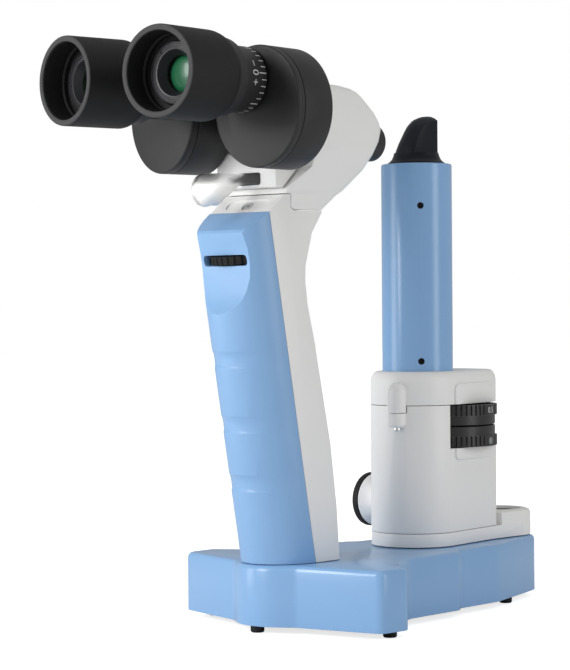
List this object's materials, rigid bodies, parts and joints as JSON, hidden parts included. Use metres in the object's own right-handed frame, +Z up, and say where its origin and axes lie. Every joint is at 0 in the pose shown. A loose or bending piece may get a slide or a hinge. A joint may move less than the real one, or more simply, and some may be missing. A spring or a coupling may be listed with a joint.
{
  "type": "slit lamp",
  "caption": "Portable slit lamp: stereo microscope on a leaning handle, standing on a base with a swinging lamp tower that carries dials and a mirror head.",
  "frame": {"origin": "centre of the footprint box, on the plane of the feet", "axes": "+Z up, +Y from the operator towards the patient, +X to the operator's right"},
  "size_m": [0.1162, 0.2582, 0.2451],
  "materials": {
    "blue_shell": "satin blue moulded shell",
    "white_shell": "light grey-white semi-gloss moulded shell",
    "black_metal": "matt black coated metal",
    "black_plastic": "matt black plastic",
    "rubber": "black rubber",
    "steel": "bright steel",
    "aluminium": "plain aluminium",
    "glass": "clear optical glass",
    "coated_glass": "glass with a green anti-reflection coating",
    "circuit_board": "green circuit board",
    "battery_sleeve": "printed battery sleeve, plain"
  },
  "bodies": {
    "stand": {"base_shell": "blue_shell", "base_plate": "black_plastic", "base_screw_front": "steel", "base_screw_rear": "steel", "foot_front": "rubber", "foot_wing_left": "rubber", "foot_wing_right": "rubber", "foot_rear_left": "rubber", "foot_rear_right": "rubber", "charge_socket": "black_plastic", "pivot_post": "steel", "pivot_screw": "black_plastic", "handle_grip": "blue_shell", "handle_shell": "white_shell", "grip_screw": "steel", "battery": "battery_sleeve", "control_board": "circuit_board", "brightness_rheostat": "black_plastic", "neck_cover": "white_shell", "head_shell": "white_shell", "head_plate": "black_metal", "objective_ring_left": "black_metal", "objective_ring_right": "black_metal", "objective_lens_left": "coated_glass", "objective_lens_right": "coated_glass"},
    "lamp_arm": {"arm_plate": "white_shell", "tower_housing": "white_shell", "tower_lid": "white_shell", "lid_screw": "steel", "projection_tube": "blue_shell", "projection_lens": "glass", "prism_head": "black_plastic", "prism_mirror": "aluminium", "heat_sink": "aluminium", "lamp": "white_shell", "slit_barrel": "black_plastic", "condenser_lens": "glass", "dial_post": "steel"},
    "aperture_dial_body": {"aperture_dial": "black_plastic"},
    "filter_dial_body": {"filter_dial": "black_plastic"},
    "slit_knob_body": {"slit_knob": "white_shell", "knob_ring": "rubber"},
    "brightness_wheel_body": {"brightness_wheel": "black_plastic"},
    "magnification_lever_body": {"mag_lever": "steel", "mag_drum": "black_plastic"},
    "prism_can_left": {"prism_housing_left": "black_metal", "housing_cover_left": "black_metal", "prism_left": "glass", "eyepiece_tube_left": "black_metal"},
    "eyepiece_left": {"diopter_ring_left": "black_metal", "eyecup_left": "rubber", "eye_lens_left": "coated_glass"},
    "prism_can_right": {"prism_housing_right": "black_metal", "housing_cover_right": "black_metal", "prism_right": "glass", "eyepiece_tube_right": "black_metal"},
    "eyepiece_right": {"diopter_ring_right": "black_metal", "eyecup_right": "rubber", "eye_lens_right": "coated_glass"}
  },
  "joints": [
    {"name": "arm_swing", "type": "hinge", "parent": "stand", "child": "lamp_arm", "pos_m": [0, 0.11262, 0.034], "axis": [0, 0, 1], "range_deg": [-60, 60]},
    {"name": "aperture_dial_turn", "type": "hinge", "parent": "lamp_arm", "child": "aperture_dial_body", "pos_m": [0, 0.07352, 0.086], "axis": [0, 0, 1], "range_deg": [0, 288]},
    {"name": "filter_dial_turn", "type": "hinge", "parent": "lamp_arm", "child": "filter_dial_body", "pos_m": [0, 0.07352, 0.076], "axis": [0, 0, 1], "range_deg": [0, 288]},
    {"name": "slit_knob_turn", "type": "hinge", "parent": "lamp_arm", "child": "slit_knob_body", "pos_m": [-0.0194, 0.05902, 0.047], "axis": [-1, 0, 0], "range_deg": [0, 270]},
    {"name": "brightness_turn", "type": "hinge", "parent": "stand", "child": "brightness_wheel_body", "pos_m": [0, -0.05198, 0.15722], "axis": [0, -0.1759, 0.9844], "range_deg": [0, 270]},
    {"name": "magnification_swing", "type": "hinge", "parent": "stand", "child": "magnification_lever_body", "pos_m": [0, -0.03098, 0.189], "axis": [0, 0, 1], "range_deg": [0, 20]},
    {"name": "ipd_right", "type": "hinge", "parent": "stand", "child": "prism_can_right", "pos_m": [0.0182, -0.07498, 0.2064], "axis": [-0.1108, 0.9938, 0], "range_deg": [-3, 17]},
    {"name": "ipd_left", "type": "hinge", "parent": "stand", "child": "prism_can_left", "pos_m": [-0.0182, -0.07498, 0.2064], "axis": [0.1108, 0.9938, 0], "range_deg": [-17, 3]},
    {"name": "diopter_right", "type": "hinge", "parent": "prism_can_right", "child": "eyepiece_right", "pos_m": [0.02154, -0.07461, 0.227], "axis": [-0.1108, 0.9938, 0], "range_deg": [-60, 60]},
    {"name": "diopter_left", "type": "hinge", "parent": "prism_can_left", "child": "eyepiece_left", "pos_m": [-0.02154, -0.07461, 0.227], "axis": [0.1108, 0.9938, 0], "range_deg": [-60, 60]}
  ],
  "couplings": [
    {"joint": "ipd_left", "follows": "ipd_right", "ratio": -1}
  ]
}
